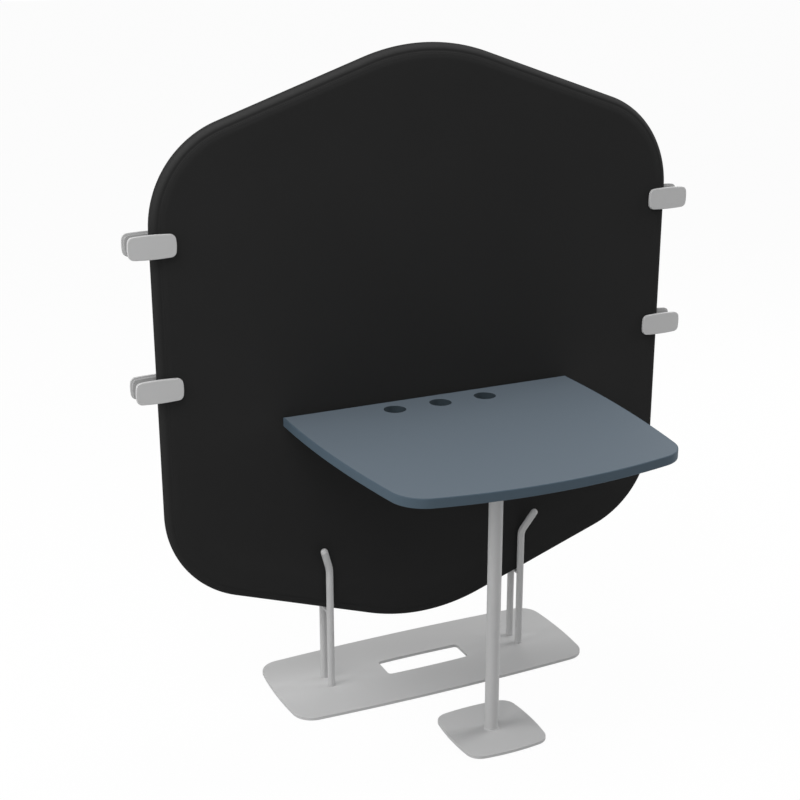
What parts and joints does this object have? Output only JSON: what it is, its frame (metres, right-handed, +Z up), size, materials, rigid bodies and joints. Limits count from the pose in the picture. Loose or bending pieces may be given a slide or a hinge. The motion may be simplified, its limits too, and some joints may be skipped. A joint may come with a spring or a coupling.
{
  "type": "desk with privacy screen",
  "caption": "Small wing-shaped desk top on a slim leg in front of a tall padded hexagonal privacy screen, held upright by bent rods on a low base plate, with linking clips at its sides.",
  "frame": {"origin": "on the floor, at the centre of the footprint: midway across the screen, and midway between the front of the desk top and the back of the base plate", "axes": "+Z up, +X to the seated user's right along the screen, +Y away from the user through the screen"},
  "size_m": [1.4434, 0.8148, 1.5741],
  "materials": {
    "screen_fabric": "woven charcoal upholstery cloth",
    "pad_foam": "soft grey polyurethane foam",
    "felt_infill": "pressed polyester felt",
    "frame_timber": "raw plywood",
    "desk_board": "through-coloured dark slate fibreboard",
    "desk_laminate": "fine matt blue grey laminate",
    "edge_band": "matt slate blue edge band",
    "painted_steel": "light grey fine texture powder coat",
    "zinc_steel": "bright zinc plate",
    "grey_rubber": "soft light grey rubber",
    "black_rubber": "matt black rubber"
  },
  "bodies": {
    "root": {"acoustic_infill": "felt_infill", "back_cover": "screen_fabric", "back_pad": "pad_foam", "base_glides": "black_rubber", "base_plate": "painted_steel", "bracket_machine_screws": "zinc_steel", "bracket_wood_screws": "zinc_steel", "desk_core": "desk_board", "desk_edge_band": "edge_band", "desk_top_laminate": "desk_laminate", "desk_underside_laminate": "desk_laminate", "foot_glides": "black_rubber", "foot_plate": "painted_steel", "front_cover": "screen_fabric", "front_pad": "pad_foam", "left_back_rod": "painted_steel", "left_cross_bar": "painted_steel", "left_desk_bracket": "painted_steel", "left_front_rod": "painted_steel", "leg_plate_screws": "zinc_steel", "leg_top_plate": "painted_steel", "leg_tube": "painted_steel", "lower_left_clip_front_grip_pad": "grey_rubber", "lower_left_clip_front_plate": "painted_steel", "lower_left_clip_sleeve": "zinc_steel", "lower_right_clip_front_grip_pad": "grey_rubber", "lower_right_clip_front_plate": "painted_steel", "lower_right_clip_sleeve": "zinc_steel", "right_back_rod": "painted_steel", "right_cross_bar": "painted_steel", "right_desk_bracket": "painted_steel", "right_front_rod": "painted_steel", "rod_screws": "zinc_steel", "screen_frame": "frame_timber", "screen_inserts": "zinc_steel", "upper_left_clip_front_grip_pad": "grey_rubber", "upper_left_clip_front_plate": "painted_steel", "upper_left_clip_sleeve": "zinc_steel", "upper_right_clip_front_grip_pad": "grey_rubber", "upper_right_clip_front_plate": "painted_steel", "upper_right_clip_sleeve": "zinc_steel"},
    "upper_left_clip_jaw": {"upper_left_clip_back_plate": "painted_steel", "upper_left_clip_back_grip_pad": "grey_rubber"},
    "upper_left_clip_fastener": {"upper_left_clip_screw": "zinc_steel"},
    "lower_left_clip_jaw": {"lower_left_clip_back_plate": "painted_steel", "lower_left_clip_back_grip_pad": "grey_rubber"},
    "lower_left_clip_fastener": {"lower_left_clip_screw": "zinc_steel"},
    "upper_right_clip_jaw": {"upper_right_clip_back_plate": "painted_steel", "upper_right_clip_back_grip_pad": "grey_rubber"},
    "upper_right_clip_fastener": {"upper_right_clip_screw": "zinc_steel"},
    "lower_right_clip_jaw": {"lower_right_clip_back_plate": "painted_steel", "lower_right_clip_back_grip_pad": "grey_rubber"},
    "lower_right_clip_fastener": {"lower_right_clip_screw": "zinc_steel"}
  },
  "joints": [
    {"name": "upper_left_clip_jaw_slide", "type": "slide", "parent": "root", "child": "upper_left_clip_jaw", "axis": [0, 1, 0], "range_m": [0, 0.006]},
    {"name": "upper_left_clip_screw_turn", "type": "hinge", "parent": "upper_left_clip_jaw", "child": "upper_left_clip_fastener", "pos_m": [-0.64, 0.26515, 1.1686], "axis": [0, 1, 0], "range_deg": [0, 1728]},
    {"name": "lower_left_clip_jaw_slide", "type": "slide", "parent": "root", "child": "lower_left_clip_jaw", "axis": [0, 1, 0], "range_m": [0, 0.006]},
    {"name": "lower_left_clip_screw_turn", "type": "hinge", "parent": "lower_left_clip_jaw", "child": "lower_left_clip_fastener", "pos_m": [-0.64, 0.26515, 0.8414], "axis": [0, 1, 0], "range_deg": [0, 1728]},
    {"name": "upper_right_clip_jaw_slide", "type": "slide", "parent": "root", "child": "upper_right_clip_jaw", "axis": [0, 1, 0], "range_m": [0, 0.006]},
    {"name": "upper_right_clip_screw_turn", "type": "hinge", "parent": "upper_right_clip_jaw", "child": "upper_right_clip_fastener", "pos_m": [0.64, 0.26515, 1.1686], "axis": [0, 1, 0], "range_deg": [0, 1728]},
    {"name": "lower_right_clip_jaw_slide", "type": "slide", "parent": "root", "child": "lower_right_clip_jaw", "axis": [0, 1, 0], "range_m": [0, 0.006]},
    {"name": "lower_right_clip_screw_turn", "type": "hinge", "parent": "lower_right_clip_jaw", "child": "lower_right_clip_fastener", "pos_m": [0.64, 0.26515, 0.8414], "axis": [0, 1, 0], "range_deg": [0, 1728]}
  ],
  "couplings": [
    {"joint": "upper_left_clip_screw_turn", "follows": "upper_left_clip_jaw_slide", "rad_per_m": 5026.5},
    {"joint": "lower_left_clip_screw_turn", "follows": "lower_left_clip_jaw_slide", "rad_per_m": 5026.5},
    {"joint": "upper_right_clip_screw_turn", "follows": "upper_right_clip_jaw_slide", "rad_per_m": 5026.5},
    {"joint": "lower_right_clip_screw_turn", "follows": "lower_right_clip_jaw_slide", "rad_per_m": 5026.5}
  ]
}
